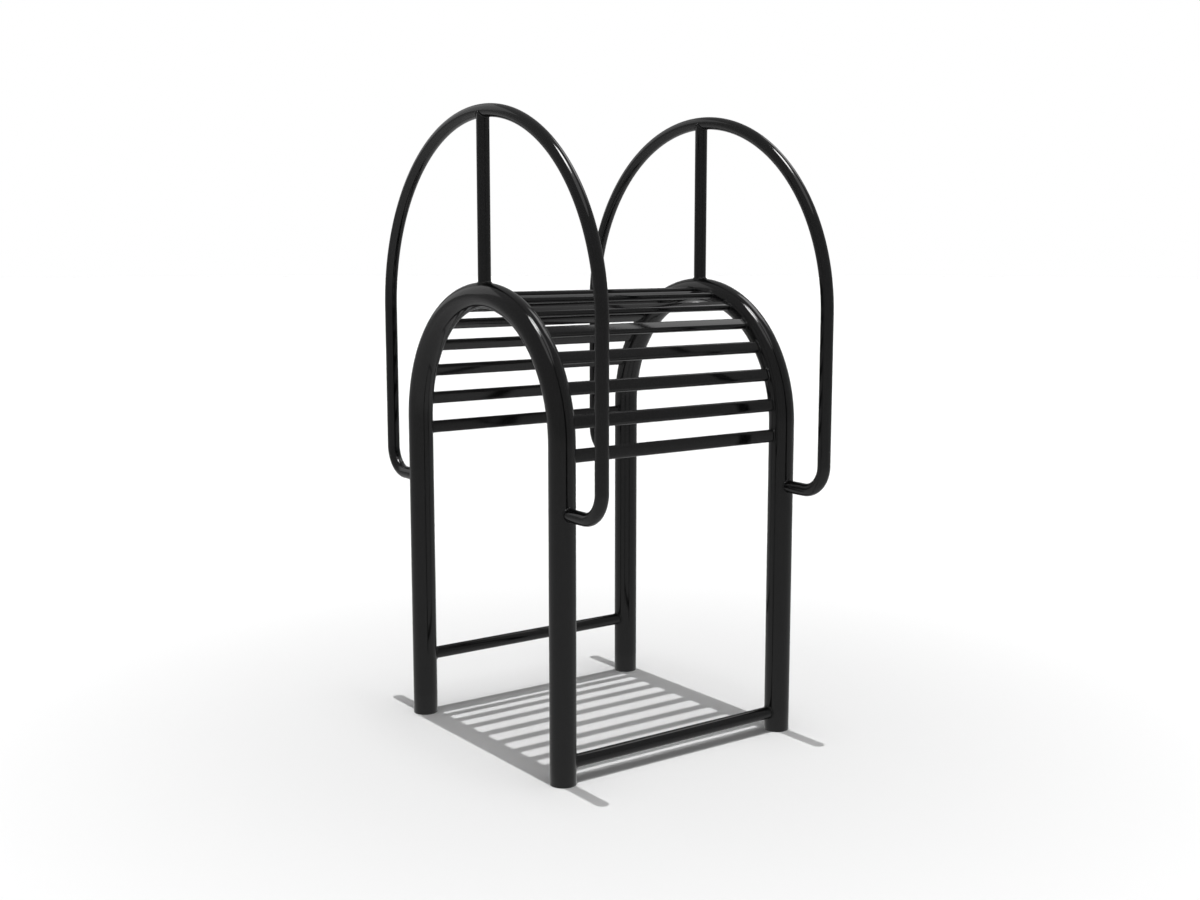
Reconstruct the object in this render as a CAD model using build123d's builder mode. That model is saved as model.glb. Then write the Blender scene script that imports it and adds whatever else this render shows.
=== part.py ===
"""Arched climbing frame with two round arches, a run of flat-oval rungs and two grip hoops.

Every tube is cut to a saddle where it meets another and is held there by a weld bead.
Axes: X across the span of the arches, Y along the rungs, Z up.  The origin is on the
floor, midway between the four legs.  Millimetres.
"""
import os
from math import cos, degrees, pi, sin

from build123d import *

# Arches: round tube, two straight legs joined by a half circle
arch_tube_diameter = 76.1
arch_tube_wall = 3.0
arch_radius = 392.5          # centreline, so the legs stand twice this apart
spring_height = 955.5        # where the straight leg turns into the half circle
arch_spacing = 804.0         # centre to centre, along the rungs

# Grip tube: hoops, struts and crossbars
grip_tube_diameter = 38.1
grip_tube_wall = 2.6

# Hoops: each lies in the plane of its arch and comes back to the legs at hand height
hoop_radius = 577.0
hoop_spring_height = 1293.0
hoop_tail_height = 768.5
hoop_bend_radius = 80.0
ear_trim = 3.0               # blunts the thin tips of the strut's upper saddle

# Crossbars: one near the floor, one a hand higher on the other side
low_crossbar_height = 57.5
high_crossbar_height = 189.0

# Rungs: flat-sided oval tube, its broad side along the arch
rung_width = 38.4
rung_thickness = 19.0
rung_wall = 2.0
rung_pitch = 92.7            # along the arch's centreline
rungs_each_side = 7          # on each side of the crown rung

# Foot plates: discs let into the leg ends, flush with the floor
foot_plate_thickness = 12.0
foot_plate_clearance = 0.1   # all round, inside the leg
anchor_drill_diameter = 14.0  # tapping size for an M16 ground anchor
anchor_lead_in = 1.0         # bevel at the mouth of the tapped hole

# Weld beads
weld_leg = 4.5
weld_corner_bevel = 2.7      # takes the outer corner off a bead
weld_toe = 0.6               # thickness left at the thin edge of a sloping bead

arch_tube_radius = arch_tube_diameter / 2
arch_bore_radius = arch_tube_radius - arch_tube_wall
grip_tube_radius = grip_tube_diameter / 2
grip_bore_radius = grip_tube_radius - grip_tube_wall
arch_crown_height = spring_height + arch_radius
hoop_crown_height = hoop_spring_height + hoop_radius
arch_planes = {"front": -arch_spacing / 2, "rear": arch_spacing / 2}
leg_sides = {"left": -arch_radius, "right": arch_radius}


def ring(radius, bore_radius):
    Circle(radius)
    if bore_radius > 0:
        Circle(bore_radius, mode=Mode.SUBTRACT)


def arch_run(y, radius, bore_radius=0):
    """Both legs and the half circle of one arch; solid when it has no bore."""
    with BuildPart() as run:
        with BuildSketch(Plane.XY):
            with Locations(*[(x, y) for x in leg_sides.values()]):
                ring(radius, bore_radius)
        extrude(amount=spring_height)
        with BuildSketch(Plane.XY.offset(spring_height)):
            with Locations((arch_radius, y)):
                ring(radius, bore_radius)
        revolve(axis=Axis((0, y, spring_height), (0, -1, 0)), revolution_arc=180)
    return run.part


def hoop_run(y, radius, bore_radius=0):
    """One hoop from leg to leg: tail, bend, upright, half circle, and back down."""
    bend_centre_x = hoop_radius - hoop_bend_radius
    bend_centre_z = hoop_tail_height + hoop_bend_radius
    with BuildPart() as run:
        with BuildSketch(Plane.YZ.offset(arch_radius)):
            with Locations((y, hoop_tail_height)):
                ring(radius, bore_radius)
        extrude(amount=bend_centre_x - arch_radius)
        with BuildSketch(Plane.YZ.offset(bend_centre_x)):
            with Locations((y, hoop_tail_height)):
                ring(radius, bore_radius)
        revolve(axis=Axis((bend_centre_x, y, bend_centre_z), (0, -1, 0)), revolution_arc=90)
        with BuildSketch(Plane.XY.offset(bend_centre_z)):
            with Locations((hoop_radius, y)):
                ring(radius, bore_radius)
        extrude(amount=hoop_spring_height - bend_centre_z)
        mirror(about=Plane.YZ)
        with BuildSketch(Plane.XY.offset(hoop_spring_height)):
            with Locations((hoop_radius, y)):
                ring(radius, bore_radius)
        revolve(axis=Axis((0, y, hoop_spring_height), (0, -1, 0)), revolution_arc=180)
    return run.part


def strut_run(y, radius, bore_radius=0):
    """Upright from the arch's crown to the hoop's crown, before its ends are shaped."""
    with BuildPart() as run:
        with BuildSketch(Plane.XY.offset(arch_crown_height)):
            with Locations((0, y)):
                ring(radius, bore_radius)
        extrude(amount=hoop_crown_height - ear_trim - arch_crown_height)
    return run.part


def crossbar_run(x, height, radius, bore_radius=0):
    """Bar between the two legs on one side, from leg axis to leg axis."""
    with BuildPart() as run:
        with BuildSketch(Plane.XZ.offset(-arch_spacing / 2)):
            with Locations((x, height)):
                ring(radius, bore_radius)
        extrude(amount=arch_spacing)
    return run.part


def rung_place(index):
    """X, Z and tilt of a rung counted from the crown; past the half circle it is on a leg."""
    run = abs(index) * rung_pitch
    side = 1 if index >= 0 else -1
    quarter = arch_radius * pi / 2
    if run > quarter:
        return side * arch_radius, spring_height - (run - quarter), side * -90
    angle = run / arch_radius
    return side * arch_radius * sin(angle), spring_height + arch_radius * cos(angle), side * -degrees(angle)


def rung_outline(index, grow=0, mode=Mode.ADD):
    """Flat-sided oval across the arch, larger all round by grow."""
    x, z, tilt = rung_place(index)
    with Locations((x, z)):
        SlotOverall(rung_width + 2 * grow, rung_thickness + 2 * grow, rotation=tilt, mode=mode)


def rung_weld_beads(rear_arch):
    """Sloping beads round the rungs' ends on the rear arch."""
    crest = arch_spacing / 2 - arch_tube_radius
    with BuildPart() as beads:
        with BuildSketch(Plane.XZ.offset(-crest)) as collars:
            for index in rung_indices:
                rung_outline(index, grow=weld_leg)
        extrude(amount=weld_leg - weld_toe, taper=45)
        extrude(collars.sketch, amount=-arch_tube_radius / 2)
        with BuildSketch(Plane.XZ.offset(-arch_spacing / 2)):
            for index in rung_indices:
                rung_outline(index)
        extrude(amount=arch_spacing / 2, mode=Mode.SUBTRACT)
        add(rear_arch, mode=Mode.SUBTRACT)
    return beads.part


def weld_beads(tube, grown_tube, target, grown_target, corner_bevel=weld_corner_bevel):
    """Beads in the corner between a tube and what it stands on, one leg wide each way."""

    def on_outer_corner(edge):
        middle = edge @ 0.5
        return min(tube.distance_to(middle), target.distance_to(middle)) > 0.9 * weld_leg

    with BuildPart() as beads:
        add(grown_tube)
        add(tube, mode=Mode.SUBTRACT)
        add(target, mode=Mode.SUBTRACT)
        add(grown_target, mode=Mode.INTERSECT)
        if corner_bevel > 0:
            chamfer(beads.edges().filter_by(on_outer_corner), length=corner_bevel)
    return beads.part


def finish(part, name):
    part.label = name
    export_step(part, f"parts/{name}.step")


os.makedirs("parts", exist_ok=True)

rung_indices = range(-rungs_each_side, rungs_each_side + 1)
grown_arch_radius = arch_tube_radius + weld_leg
grown_grip_radius = grip_tube_radius + weld_leg
arch_solids = {name: arch_run(y, arch_tube_radius) for name, y in arch_planes.items()}
arch_grown = {name: arch_run(y, grown_arch_radius) for name, y in arch_planes.items()}
hoop_solids = {name: hoop_run(y, grip_tube_radius) for name, y in arch_planes.items()}
hoop_grown = {name: hoop_run(y, grown_grip_radius) for name, y in arch_planes.items()}

for name, y in arch_planes.items():
    finish(arch_run(y, arch_tube_radius, arch_bore_radius), f"{name}_arch")

    with BuildPart() as hoop:
        add(hoop_run(y, grip_tube_radius, grip_bore_radius))
        add(arch_solids[name], mode=Mode.SUBTRACT)
    finish(hoop.part, f"{name}_hoop")

    with BuildPart() as strut:
        add(strut_run(y, grip_tube_radius, grip_bore_radius))
        add(arch_solids[name], mode=Mode.SUBTRACT)
        add(hoop_solids[name], mode=Mode.SUBTRACT)
    finish(strut.part, f"{name}_strut")

    # The strut's blunted tips cut across its head bead, so that bead keeps a square corner
    strut_solid = strut_run(y, grip_tube_radius)
    strut_grown = strut_run(y, grown_grip_radius)
    with BuildPart() as strut_welds:
        add(weld_beads(strut_solid, strut_grown, arch_solids[name], arch_grown[name]))
        add(weld_beads(strut_solid, strut_grown, hoop_solids[name], hoop_grown[name], corner_bevel=0))
    finish(strut_welds.part, f"{name}_strut_welds")

    hoop_welds = weld_beads(hoop_solids[name], hoop_grown[name], arch_solids[name], arch_grown[name])
    finish(hoop_welds, f"{name}_hoop_welds")

rear_rung_welds = rung_weld_beads(arch_solids["rear"])
finish(rear_rung_welds, "rear_rung_welds")
finish(mirror(rear_rung_welds, about=Plane.XZ), "front_rung_welds")

# Rungs, numbered from the left leg over the crown to the right leg
for number, index in enumerate(rung_indices, start=1):
    with BuildPart() as rung:
        with BuildSketch(Plane.XZ.offset(-arch_spacing / 2)):
            rung_outline(index)
            rung_outline(index, grow=-rung_wall, mode=Mode.SUBTRACT)
        extrude(amount=arch_spacing)
        for solid in arch_solids.values():
            add(solid, mode=Mode.SUBTRACT)
    finish(rung.part, f"rung_{number:02d}")

both_arches = arch_solids["front"] + arch_solids["rear"]
both_arches_grown = arch_grown["front"] + arch_grown["rear"]
crossbar_heights = {"left": high_crossbar_height, "right": low_crossbar_height}
for side, height in crossbar_heights.items():
    x = leg_sides[side]
    with BuildPart() as crossbar:
        add(crossbar_run(x, height, grip_tube_radius, grip_bore_radius))
        add(both_arches, mode=Mode.SUBTRACT)
    finish(crossbar.part, f"{side}_crossbar")

    bar_solid = crossbar_run(x, height, grip_tube_radius)
    bar_grown = crossbar_run(x, height, grown_grip_radius)
    crossbar_welds = weld_beads(bar_solid, bar_grown, both_arches, both_arches_grown)
    finish(crossbar_welds, f"{side}_crossbar_welds")

# Foot plates: one in each leg end, tapped for a ground anchor
legs = [(name, side) for name in arch_planes for side in leg_sides]
for name, side in legs:
    with BuildPart() as foot_plate:
        with BuildSketch(Plane.XY):
            with Locations((leg_sides[side], arch_planes[name])):
                ring(arch_bore_radius - foot_plate_clearance, anchor_drill_diameter / 2)
        extrude(amount=foot_plate_thickness)
        mouth = foot_plate.edges().group_by(Axis.Z)[0].sort_by(SortBy.LENGTH)[0]
        chamfer(mouth, length=anchor_lead_in)
    finish(foot_plate.part, f"{name}_{side}_foot_plate")

# Their seal welds, inside the legs on top of the plates
with BuildPart() as foot_plate_welds:
    for name, side in legs:
        x, y = leg_sides[side], arch_planes[name]
        with BuildSketch(Plane.XZ.offset(-y)):
            with BuildLine():
                Polyline(
                    (x + arch_bore_radius, foot_plate_thickness),
                    (x + arch_bore_radius - weld_leg, foot_plate_thickness),
                    (x + arch_bore_radius, foot_plate_thickness + weld_leg),
                    close=True,
                )
            make_face()
        revolve(axis=Axis((x, y, 0), (0, 0, 1)))
finish(foot_plate_welds.part, "foot_plate_welds")
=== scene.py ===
from math import atan2, ceil, copysign, cos, hypot, pi, radians, sin, sqrt

import bpy
from mathutils import Matrix, Vector


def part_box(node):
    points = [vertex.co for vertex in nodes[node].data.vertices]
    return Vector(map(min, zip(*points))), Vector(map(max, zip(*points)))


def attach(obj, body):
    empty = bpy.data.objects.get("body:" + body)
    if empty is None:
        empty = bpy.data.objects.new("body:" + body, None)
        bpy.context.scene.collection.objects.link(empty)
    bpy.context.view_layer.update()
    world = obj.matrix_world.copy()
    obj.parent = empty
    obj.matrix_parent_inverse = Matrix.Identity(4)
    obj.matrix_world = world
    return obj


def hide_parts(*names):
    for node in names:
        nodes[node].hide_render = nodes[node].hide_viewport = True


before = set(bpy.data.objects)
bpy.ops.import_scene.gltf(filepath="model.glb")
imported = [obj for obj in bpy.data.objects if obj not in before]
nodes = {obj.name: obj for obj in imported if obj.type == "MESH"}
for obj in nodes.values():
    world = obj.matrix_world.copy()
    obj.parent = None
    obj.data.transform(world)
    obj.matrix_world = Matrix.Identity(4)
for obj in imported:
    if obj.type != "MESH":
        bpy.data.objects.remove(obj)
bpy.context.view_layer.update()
mm = 0.001

# sizes read from the frame, in metres
archLow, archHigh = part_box("front_arch")
hoopLow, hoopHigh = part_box("front_hoop")
rungLow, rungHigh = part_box("rung_08")      # the crown rung lies flat

archTube = (archHigh.y - archLow.y) / 2
archRadius = archHigh.x - archTube
archSpring = archHigh.z - archTube - archRadius
archCrown = archSpring + archRadius
gripTube = (hoopHigh.y - hoopLow.y) / 2
hoopRadius = hoopHigh.x - gripTube
hoopSpring = hoopHigh.z - gripTube - hoopRadius
tailHeight = hoopLow.z + gripTube
rungWidth = rungHigh.x - rungLow.x
rungThickness = rungHigh.z - rungLow.z
planes = {"front": (archLow.y + archHigh.y) / 2, "rear": -(archLow.y + archHigh.y) / 2}


def middle(node):
    low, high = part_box(node)
    return (low + high) / 2


def deselectAll():
    bpy.ops.object.select_all(action="DESELECT")


def choose(piece):
    deselectAll()
    piece.select_set(True)
    bpy.context.view_layer.objects.active = piece


def linearColour(hexText):
    channels = [int(hexText[i:i + 2], 16) / 255 for i in (0, 2, 4)]
    return [c / 12.92 if c <= 0.04045 else ((c + 0.055) / 1.055) ** 2.4 for c in channels] + [1.0]


def addNode(tree, kind, settings=None, links=None):
    # settings: a property's name, or an input's name or number; links: an input, then the output that feeds it
    node = tree.nodes.new(kind)
    for name, value in (settings or {}).items():
        if isinstance(name, str) and hasattr(node, name):
            setattr(node, name, value)
        else:
            node.inputs[name].default_value = value
    for name, output in (links or {}).items():
        tree.links.new(output, node.inputs[name])
    return node


coatLook = {
    "dark": "090909",
    "light": "0F0F10",
    "roughness": 0.085,
    "ior": 1.5,             # cured polyester
    "peelSize": 4.0,        # mm; real orange peel is nearer 2 mm and would not show from here
    "peelDepth": 0.035,     # mm
    "cloudSize": 70.0,      # mm, slow change in gloss and colour along a tube
    "glossSpread": 0.03,    # how far the roughness wanders each way
}


def powderCoat(name, look):
    # polyester powder coat, sprayed and oven cured over the welded steel: near black, glossy, faint orange peel
    coat = bpy.data.materials.new(name)
    coat.use_nodes = True
    tree = coat.node_tree
    shader = tree.nodes["Principled BSDF"]
    shader.inputs["IOR"].default_value = look["ior"]
    place = addNode(tree, "ShaderNodeTexCoord").outputs["Object"]
    clouds = addNode(tree, "ShaderNodeTexNoise", {"Scale": 1 / (look["cloudSize"] * mm), "Detail": 3.0},
                     {"Vector": place})
    colour = addNode(tree, "ShaderNodeMix", {"data_type": "RGBA", 6: linearColour(look["dark"]),
                                             7: linearColour(look["light"])}, {0: clouds.outputs["Fac"]})
    gloss = addNode(tree, "ShaderNodeMapRange",
                    {"To Min": look["roughness"] - look["glossSpread"],
                     "To Max": look["roughness"] + look["glossSpread"]},
                    {"Value": clouds.outputs["Fac"]})
    peel = addNode(tree, "ShaderNodeTexNoise", {"Scale": 1 / (look["peelSize"] * mm), "Detail": 1.0},
                   {"Vector": place})
    bump = addNode(tree, "ShaderNodeBump", {"Distance": look["peelDepth"] * mm}, {"Height": peel.outputs["Fac"]})
    tree.links.new(colour.outputs[2], shader.inputs["Base Color"])
    tree.links.new(gloss.outputs["Result"], shader.inputs["Roughness"])
    tree.links.new(bump.outputs["Normal"], shader.inputs["Normal"])
    return coat


# the same coat, duller where it runs thick over a bead, and thin and satin inside a leg's end
beadCoatLook = dict(coatLook, roughness=0.14, peelSize=3.0, peelDepth=0.03)
plateCoatLook = dict(coatLook, dark="0B0B0B", light="161616", roughness=0.34, peelSize=2.5, peelDepth=0.04)

steelLook = {
    "colour": "7A7672",
    "scale": "4A4540",      # the darker scale left on it
    "roughness": 0.5,
    "grainSize": 4.0,       # mm
    "grainDepth": 0.02,     # mm
}


def bareSteel(look):
    # mild steel weld left bare inside the leg: grey, dull, lightly scaled
    steel = bpy.data.materials.new("bareWeldSteel")
    steel.use_nodes = True
    tree = steel.node_tree
    shader = tree.nodes["Principled BSDF"]
    shader.inputs["Metallic"].default_value = 1.0
    shader.inputs["Roughness"].default_value = look["roughness"]
    place = addNode(tree, "ShaderNodeTexCoord").outputs["Object"]
    grain = addNode(tree, "ShaderNodeTexNoise", {"Scale": 1 / (look["grainSize"] * mm)}, {"Vector": place})
    shade = addNode(tree, "ShaderNodeMix", {"data_type": "RGBA", 6: linearColour(look["scale"]),
                                            7: linearColour(look["colour"])}, {0: grain.outputs["Fac"]})
    bump = addNode(tree, "ShaderNodeBump", {"Distance": look["grainDepth"] * mm}, {"Height": grain.outputs["Fac"]})
    tree.links.new(shade.outputs[2], shader.inputs["Base Color"])
    tree.links.new(bump.outputs["Normal"], shader.inputs["Normal"])
    return steel


blackCoat = powderCoat("glossBlackPowderCoat", coatLook)
beadCoat = powderCoat("powderCoatOverWeld", beadCoatLook)
plateCoat = powderCoat("thinPowderCoatInsideLegs", plateCoatLook)
weldSteel = bareSteel(steelLook)
for name, node in nodes.items():
    for materialSlot in node.material_slots:
        materialSlot.material = weldSteel if name == "foot_plate_welds" else plateCoat
print("materials done")

# tubes: a circle drawn out along straights and spun round bends
tubeLook = {
    "archSides": 96,       # faces round the tube
    "gripSides": 72,
    "archWall": 3.0,       # mm, like the other sizes here
    "gripWall": 2.6,
    "rungWall": 2.0,
    "ringGap": 70.0,       # between rings on a straight
    "bendSteps": 108,      # in a half circle
    "tailBendRadius": 80.0,
    "tailBendSteps": 18,
    "footBevel": 0.8,      # deburred rim of the legs
    "bevelFrom": 60,       # degrees between faces
    "smoothUpTo": 40,
    "mergeGap": 0.01,
}


def startTube(name, radius, place, turn, sides):
    deselectAll()
    bpy.ops.mesh.primitive_circle_add(vertices=sides, radius=radius, location=place, rotation=turn)
    piece = bpy.context.active_object
    piece.name = name
    piece.data.name = name
    bpy.ops.object.transform_apply(location=True, rotation=True, scale=True)
    bpy.ops.object.mode_set(mode="EDIT")
    bpy.ops.mesh.select_all(action="SELECT")
    return piece


def drawStraight(run):
    rings = max(1, ceil(Vector(run).length / (tubeLook["ringGap"] * mm)))
    for _ in range(rings):
        bpy.ops.mesh.extrude_region_move(TRANSFORM_OT_translate={"value": Vector(run) / rings})


def drawBend(centre, angle, steps):
    bpy.ops.mesh.spin(steps=steps, angle=-angle, center=centre, axis=(0, 1, 0))   # its sense is left-handed


def endTube(piece):
    bpy.ops.mesh.select_all(action="SELECT")
    bpy.ops.mesh.remove_doubles(threshold=tubeLook["mergeGap"] * mm)
    bpy.ops.mesh.normals_make_consistent(inside=False)
    bpy.ops.object.mode_set(mode="OBJECT")
    return piece


def archRun(name, y):
    startTube(name, archTube, (-archRadius, y, 0), (0, 0, 0), tubeLook["archSides"])
    drawStraight((0, 0, archSpring))
    drawBend((0, y, archSpring), pi, tubeLook["bendSteps"])
    drawStraight((0, 0, -archSpring))
    return endTube(bpy.context.active_object)


def hoopRun(name, y):
    bend = tubeLook["tailBendRadius"] * mm
    steps = tubeLook["tailBendSteps"]
    startTube(name, gripTube, (-archRadius, y, tailHeight), (0, pi / 2, 0), tubeLook["gripSides"])
    drawStraight((archRadius + bend - hoopRadius, 0, 0))
    drawBend((bend - hoopRadius, y, tailHeight + bend), pi / 2, steps)
    drawStraight((0, 0, hoopSpring - tailHeight - bend))
    drawBend((0, y, hoopSpring), pi, tubeLook["bendSteps"])
    drawStraight((0, 0, tailHeight + bend - hoopSpring))
    drawBend((hoopRadius - bend, y, tailHeight + bend), pi / 2, steps)
    drawStraight((archRadius + bend - hoopRadius, 0, 0))
    return endTube(bpy.context.active_object)


def applyModifier(piece, kind, **settings):
    choose(piece)
    modifier = piece.modifiers.new(kind.lower(), kind)
    for name, value in settings.items():
        setattr(modifier, name, value)
    bpy.ops.object.modifier_apply(modifier=modifier.name)


def giveWall(piece, wall):
    applyModifier(piece, "SOLIDIFY", thickness=wall * mm, offset=-1.0, use_even_offset=True)


def fillEnds(piece):
    # makes a solid core to cut with
    choose(piece)
    bpy.ops.object.mode_set(mode="EDIT")
    bpy.ops.mesh.select_all(action="SELECT")
    bpy.ops.mesh.fill_holes(sides=0)
    bpy.ops.mesh.normals_make_consistent(inside=False)
    bpy.ops.object.mode_set(mode="OBJECT")
    return piece


def cope(piece, core):
    # cuts the piece's end to a saddle that sits on the other tube
    applyModifier(piece, "BOOLEAN", operation="DIFFERENCE", object=core, solver="EXACT")


def finishPiece(piece, material, materialSlot, *replaced):
    choose(piece)
    piece.data.materials.clear()
    piece.data.materials.append(material)
    bpy.ops.object.shade_smooth_by_angle(angle=radians(tubeLook["smoothUpTo"]))
    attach(piece, "root")
    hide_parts(*replaced)
    deselectAll()


archCores = {name: fillEnds(archRun(name + "ArchCore", y)) for name, y in planes.items()}
hoopCores = {name: fillEnds(hoopRun(name + "HoopCore", y)) for name, y in planes.items()}

for name, y in planes.items():
    arch = archRun(name + "ArchTube", y)
    giveWall(arch, tubeLook["archWall"])
    applyModifier(arch, "BEVEL", width=tubeLook["footBevel"] * mm, segments=2, limit_method="ANGLE",
                  angle_limit=radians(tubeLook["bevelFrom"]))
    finishPiece(arch, blackCoat, "tube_coat", name + "_arch")

    hoop = hoopRun(name + "HoopTube", y)
    giveWall(hoop, tubeLook["gripWall"])
    cope(hoop, archCores[name])
    finishPiece(hoop, blackCoat, "tube_coat", name + "_hoop")

    strut = startTube(name + "StrutTube", gripTube, (0, y, archCrown), (0, 0, 0), tubeLook["gripSides"])
    drawStraight((0, 0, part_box(name + "_strut")[1].z - archCrown))
    giveWall(endTube(strut), tubeLook["gripWall"])
    cope(strut, archCores[name])
    cope(strut, hoopCores[name])
    finishPiece(strut, blackCoat, "tube_coat", name + "_strut")
print("arches, hoops and struts done")

for side in ("left", "right"):
    place = middle(side + "_crossbar")
    bar = startTube(side + "CrossbarTube", gripTube, (place.x, planes["front"], place.z), (pi / 2, 0, 0),
                    tubeLook["gripSides"])
    drawStraight((0, planes["rear"] - planes["front"], 0))
    giveWall(endTube(bar), tubeLook["gripWall"])
    for core in archCores.values():
        cope(bar, core)
    finishPiece(bar, blackCoat, "tube_coat", side + "_crossbar")
print("crossbars done")

# rungs: one flat-sided oval tube shaped at the crown, then copied round the arch
def rungPlace(node):
    # carries a rung from the crown to where this node is
    place = middle(node)
    tilt = atan2(place.x, place.z - archSpring) if place.z > archSpring else copysign(pi / 2, place.x)
    return (Matrix.Translation((place.x, 0, place.z)) @ Matrix.Rotation(tilt, 4, "Y")
            @ Matrix.Translation((0, 0, -archCrown)))


def crownRung():
    sides = tubeLook["gripSides"]
    rung = startTube("crownRung", rungThickness / 2, (0, planes["front"], archCrown), (pi / 2, pi / sides, 0), sides)
    spread = (rungWidth - rungThickness) / 2
    for way in (-1, 1):
        bpy.ops.mesh.select_all(action="DESELECT")
        bpy.ops.object.mode_set(mode="OBJECT")
        for vertex in rung.data.vertices:
            vertex.select = vertex.co.x * way > 0
        bpy.ops.object.mode_set(mode="EDIT")
        bpy.ops.transform.translate(value=(way * spread, 0, 0))
    bpy.ops.mesh.select_all(action="SELECT")
    drawStraight((0, planes["rear"] - planes["front"], 0))
    giveWall(endTube(rung), tubeLook["rungWall"])
    for core in archCores.values():
        cope(rung, core)
    return rung


rungNodes = sorted(name for name in nodes if name.startswith("rung_"))
pattern = crownRung()
for node in rungNodes:
    choose(pattern)
    bpy.ops.object.duplicate()
    rung = bpy.context.active_object
    rung.name = node.replace("rung_", "rungTube")
    rung.data.transform(rungPlace(node))
    finishPiece(rung, blackCoat, "tube_coat", node)
bpy.data.objects.remove(pattern)
for core in (*archCores.values(), *hoopCores.values()):
    bpy.data.objects.remove(core)
print("rungs done")

# weld beads: a rippled cord of metal laid in the corner of each joint
beadLook = {
    "radius": 2.7,          # mm
    "stand": 0.7,           # mm that its middle stands off both tubes
    "ripple": 3.2,          # mm from one ripple to the next
    "rippleDepth": 0.10,    # share of the radius
    "ripplePoints": 6,      # points along one ripple
    "drift": 0.06,          # slow change in size along the bead
    "driftWaves": 3,        # of it in one bead
    "driftStep": 0.618,     # of a wave, from one bead to the next
    "overlap": 0.22,        # how much fatter it is where the end runs over the start
    "overlapLength": 6.0,   # mm
    "roundness": 3,
    "earTrim": 3.0,         # mm, where the strut's saddle tips are blunted under the hoop
}


def beadRing(share, tube):
    # a point on the ring round a tube, seen along it
    angle = 2 * pi * share
    radius = tube + beadLook["stand"] * mm
    return radius * cos(angle), radius * sin(angle)


def beadRise(aside, tube):
    # how far the bead lies from another tube's middle line, this far to the side of it
    return sqrt((tube + beadLook["stand"] * mm) ** 2 - aside ** 2)


def strutFoot(share, y):
    x, s = beadRing(share, gripTube)
    out = archRadius + beadRise(s, archTube)
    return Vector((x, y + s, archSpring + sqrt(out ** 2 - x ** 2)))


def strutHead(share, y):
    x, s = beadRing(share, gripTube)
    rise = max((gripTube + beadLook["stand"] * mm) ** 2 - s ** 2, (beadLook["earTrim"] * mm) ** 2)
    inner = hoopRadius - sqrt(rise)
    return Vector((x, y + s, hoopSpring + sqrt(inner ** 2 - x ** 2)))


def hoopTail(share, y, way):
    z, s = beadRing(share, gripTube)
    return Vector((way * (archRadius + beadRise(s, archTube)), y + s, tailHeight + z))


def crossbarEnd(share, place, way):
    z, s = beadRing(share, gripTube)
    return Vector((place.x + s, way * (planes["rear"] - beadRise(s, archTube)), place.z + z))


def rungEnd(share, way):
    # round a flat-sided oval at an even pace, on the crown of the arch
    radius = rungThickness / 2 + beadLook["stand"] * mm
    flat = rungWidth - rungThickness
    run = share * (2 * flat + 2 * pi * radius)
    if run < flat:
        u, v = run - flat / 2, radius
    elif run < flat + pi * radius:
        turn = (run - flat) / radius
        u, v = flat / 2 + radius * sin(turn), radius * cos(turn)
    elif run < 2 * flat + pi * radius:
        u, v = flat / 2 - (run - flat - pi * radius), -radius
    else:
        turn = (run - 2 * flat - pi * radius) / radius
        u, v = -flat / 2 - radius * sin(turn), -radius * cos(turn)
    off = hypot(archRadius + v, u) - archRadius
    return Vector((u, way * (planes["rear"] - beadRise(off, archTube)), archCrown + v))


def layBeads(name, paths, *replaced):
    # paths: functions from a share of the way round the joint to a point
    girthMarks = 60
    cord = bpy.data.curves.new(name, "CURVE")
    cord.dimensions = "3D"
    cord.bevel_depth = beadLook["radius"] * mm
    cord.bevel_resolution = beadLook["roundness"]
    for number, path in enumerate(paths):
        marks = [path(i / girthMarks) for i in range(girthMarks + 1)]
        girth = sum((after - before).length for before, after in zip(marks, marks[1:]))
        count = round(girth / (beadLook["ripple"] * mm)) * beadLook["ripplePoints"]
        spline = cord.splines.new("POLY")
        spline.points.add(count - 1)
        spline.use_cyclic_u = True
        for i, point in enumerate(spline.points):
            share = i / count
            ripple = 2 * abs(sin(pi * i / beadLook["ripplePoints"])) - 1
            drift = sin(2 * pi * (beadLook["driftWaves"] * share + beadLook["driftStep"] * number))
            nearStart = max(0.0, 1 - min(share, 1 - share) * girth / (beadLook["overlapLength"] * mm))
            point.co = (*path(share), 1)
            point.radius = (1 + beadLook["rippleDepth"] * ripple + beadLook["drift"] * drift
                            + beadLook["overlap"] * nearStart)
    beads = bpy.data.objects.new(name, cord)
    bpy.context.scene.collection.objects.link(beads)
    choose(beads)
    bpy.ops.object.convert(target="MESH")
    finishPiece(bpy.context.active_object, beadCoat, "weld_coat", *replaced)


def onPlace(path, place):
    return lambda share: place @ path(share)


for name, y in planes.items():
    layBeads(name + "StrutBeads", [lambda share: strutFoot(share, y), lambda share: strutHead(share, y)],
             name + "_strut_welds")
    layBeads(name + "HoopBeads", [lambda share: hoopTail(share, y, -1), lambda share: hoopTail(share, y, 1)],
             name + "_hoop_welds")
    way = copysign(1, y)
    crownBead = lambda share: rungEnd(share, way)
    layBeads(name + "RungBeads", [onPlace(crownBead, rungPlace(node)) for node in rungNodes], name + "_rung_welds")

for side in ("left", "right"):
    place = middle(side + "_crossbar")
    layBeads(side + "CrossbarBeads", [lambda share: crossbarEnd(share, place, -1),
                                      lambda share: crossbarEnd(share, place, 1)], side + "_crossbar_welds")
print("weld beads done")

floorLook = {
    "radius": 60.0,          # metres
    "sides": 96,
    "colour": "F8F8F8",
    "shadeAtObject": 0.76,   # share of the floor's colour kept close to the object, as painted shade
    "shadeReach": 3.4,       # metres from the middle to clean white
}


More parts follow.
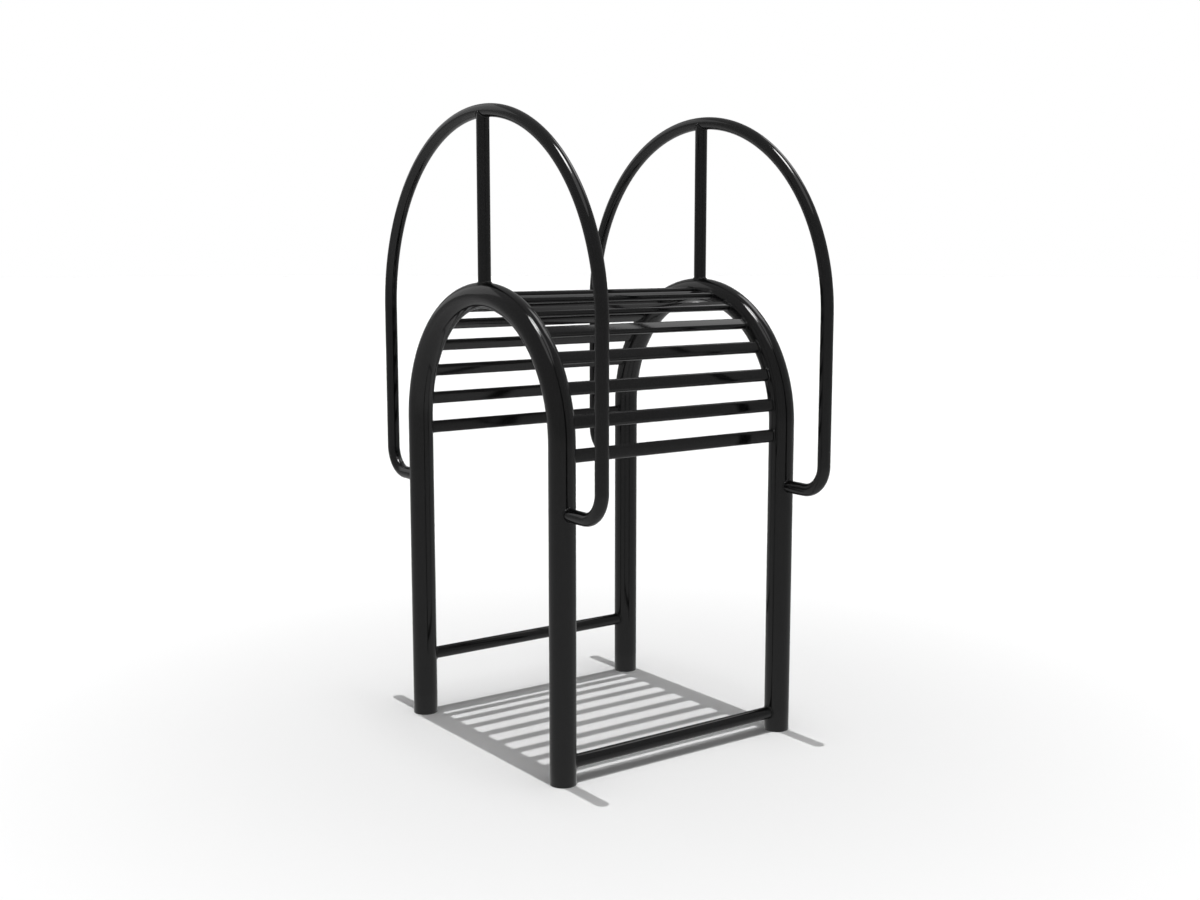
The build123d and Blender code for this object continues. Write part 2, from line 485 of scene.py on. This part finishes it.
def paleFloor(look):
    deselectAll()
    bpy.ops.mesh.primitive_circle_add(vertices=look["sides"], radius=look["radius"], fill_type="NGON")
    floor = bpy.context.active_object
    floor.name = "studioFloor"
    floor.visible_glossy = False
    # matte emulsion on a smooth board, pale; near the object its colour is darkened as painted shade, standing in
    # for the room light the object keeps off there
    paint = bpy.data.materials.new("mattePaleFloor")
    paint.use_nodes = True
    tree = paint.node_tree
    tree.nodes.remove(tree.nodes["Principled BSDF"])
    place = addNode(tree, "ShaderNodeTexCoord").outputs["Object"]
    distance = addNode(tree, "ShaderNodeVectorMath", {"operation": "LENGTH"}, {0: place})
    # painted shade: the floor colour is scaled from shadeAtObject at the middle up to full at shadeReach
    paintedShade = addNode(tree, "ShaderNodeMapRange",
                   {"interpolation_type": "SMOOTHSTEP", "From Min": 0.0, "From Max": look["shadeReach"],
                    "To Min": look["shadeAtObject"], "To Max": 1.0},
                   {"Value": distance.outputs["Value"]})
    colour = addNode(tree, "ShaderNodeVectorMath", {"operation": "SCALE", 0: linearColour(look["colour"])[:3]},
                     {"Scale": paintedShade.outputs["Result"]})
    matte = addNode(tree, "ShaderNodeBsdfDiffuse", {}, {"Color": colour.outputs["Vector"]})
    tree.links.new(matte.outputs["BSDF"], tree.nodes["Material Output"].inputs["Surface"])
    floor.data.materials.append(paint)


lightLook = {
    "suns": {                    # place it shines from, strength, width in degrees, lights the floor, shows in gloss
        "keyLight": ((0, 0, 9), 1.9, 0.35, True, False),
        "overheadSoftLight": ((0.9, 0, 9), 1.0, 19.0, True, True),
        "overheadGlint": ((0.7, 0, 9), 0.5, 15.0, False, True),
        "overheadGlow": ((3.4, 0, 9), 0.3, 38.0, False, True),
    },
    "roomAbove": 0.28,           # brightness seen in reflections and lighting the floor
    "roomBelow": 0.50,
    "roomTurns": (-0.35, -0.02),   # heights, 1 straight up, between which it goes from below to above
    "roomSeen": 1.0,             # what the camera itself sees
    "panels": {                  # place, size in metres, brightness
        "backPanel": ((-1.5, 7.0, 8.0), 4.0, 1.5),
        "leftPanel": ((-9.0, -2.5, 5.5), 7.0, 0.42),
    },
}


def addLight(kind, name, place, **settings):
    light = bpy.data.objects.new(name, bpy.data.lights.new(name, kind))
    light.location = place
    for key, value in settings.items():
        setattr(light.data, key, value)
    light.rotation_euler = light.location.to_track_quat("Z", "Y").to_euler()
    light.visible_camera = False
    bpy.context.scene.collection.objects.link(light)
    return light


def studioLights(look):
    for name, (place, strength, width, lightsFloor, shines) in look["suns"].items():
        sun = addLight("SUN", name, place, energy=strength, angle=radians(width))
        sun.visible_diffuse = lightsFloor
        sun.visible_glossy = shines
    for name, (place, size, brightness) in look["panels"].items():
        panel = addLight("AREA", name, place, shape="SQUARE", size=size, energy=brightness * pi * size ** 2)
        panel.visible_diffuse = False


def studioRoom(look):
    room = bpy.data.worlds.new("whiteStudio")
    bpy.context.scene.world = room
    room.use_nodes = True
    tree = room.node_tree
    direction = addNode(tree, "ShaderNodeTexCoord").outputs["Generated"]
    height = addNode(tree, "ShaderNodeSeparateXYZ", {}, {0: direction})
    level = addNode(tree, "ShaderNodeMapRange",
                    {"From Min": look["roomTurns"][0], "From Max": look["roomTurns"][1],
                     "To Min": look["roomBelow"], "To Max": look["roomAbove"]},
                    {"Value": height.outputs["Z"]})
    white = (1, 1, 1, 1)
    lit = tree.nodes["Background"]
    lit.inputs["Color"].default_value = white
    tree.links.new(level.outputs["Result"], lit.inputs["Strength"])
    seen = addNode(tree, "ShaderNodeBackground", {"Color": white, "Strength": look["roomSeen"]})
    ray = addNode(tree, "ShaderNodeLightPath")
    pick = addNode(tree, "ShaderNodeMixShader", {},
                   {0: ray.outputs["Is Camera Ray"], 1: lit.outputs[0], 2: seen.outputs[0]})
    tree.links.new(pick.outputs[0], tree.nodes["World Output"].inputs["Surface"])
    bpy.context.scene.view_settings.view_transform = "Standard"


cameraLook = {
    "place": (3.626, -2.607, 1.503),   # metres
    "azimuth": 54.2,       # degrees, 0 looks along +Y and 90 along -X
    "lookDown": 8.14,
    "lens": 43.79,         # mm
    "sensor": 36.0,        # mm wide
}


def studioCamera(look):
    camera = bpy.data.objects.new("studioCamera", bpy.data.cameras.new("studioCamera"))
    camera.location = look["place"]
    camera.rotation_euler = (radians(90 - look["lookDown"]), 0, radians(look["azimuth"]))
    camera.data.lens = look["lens"]
    camera.data.sensor_width = look["sensor"]
    bpy.context.scene.collection.objects.link(camera)
    bpy.context.scene.camera = camera


paleFloor(floorLook)
studioLights(lightLook)
studioRoom(lightLook)
studioCamera(cameraLook)
print("floor, lights and camera done")
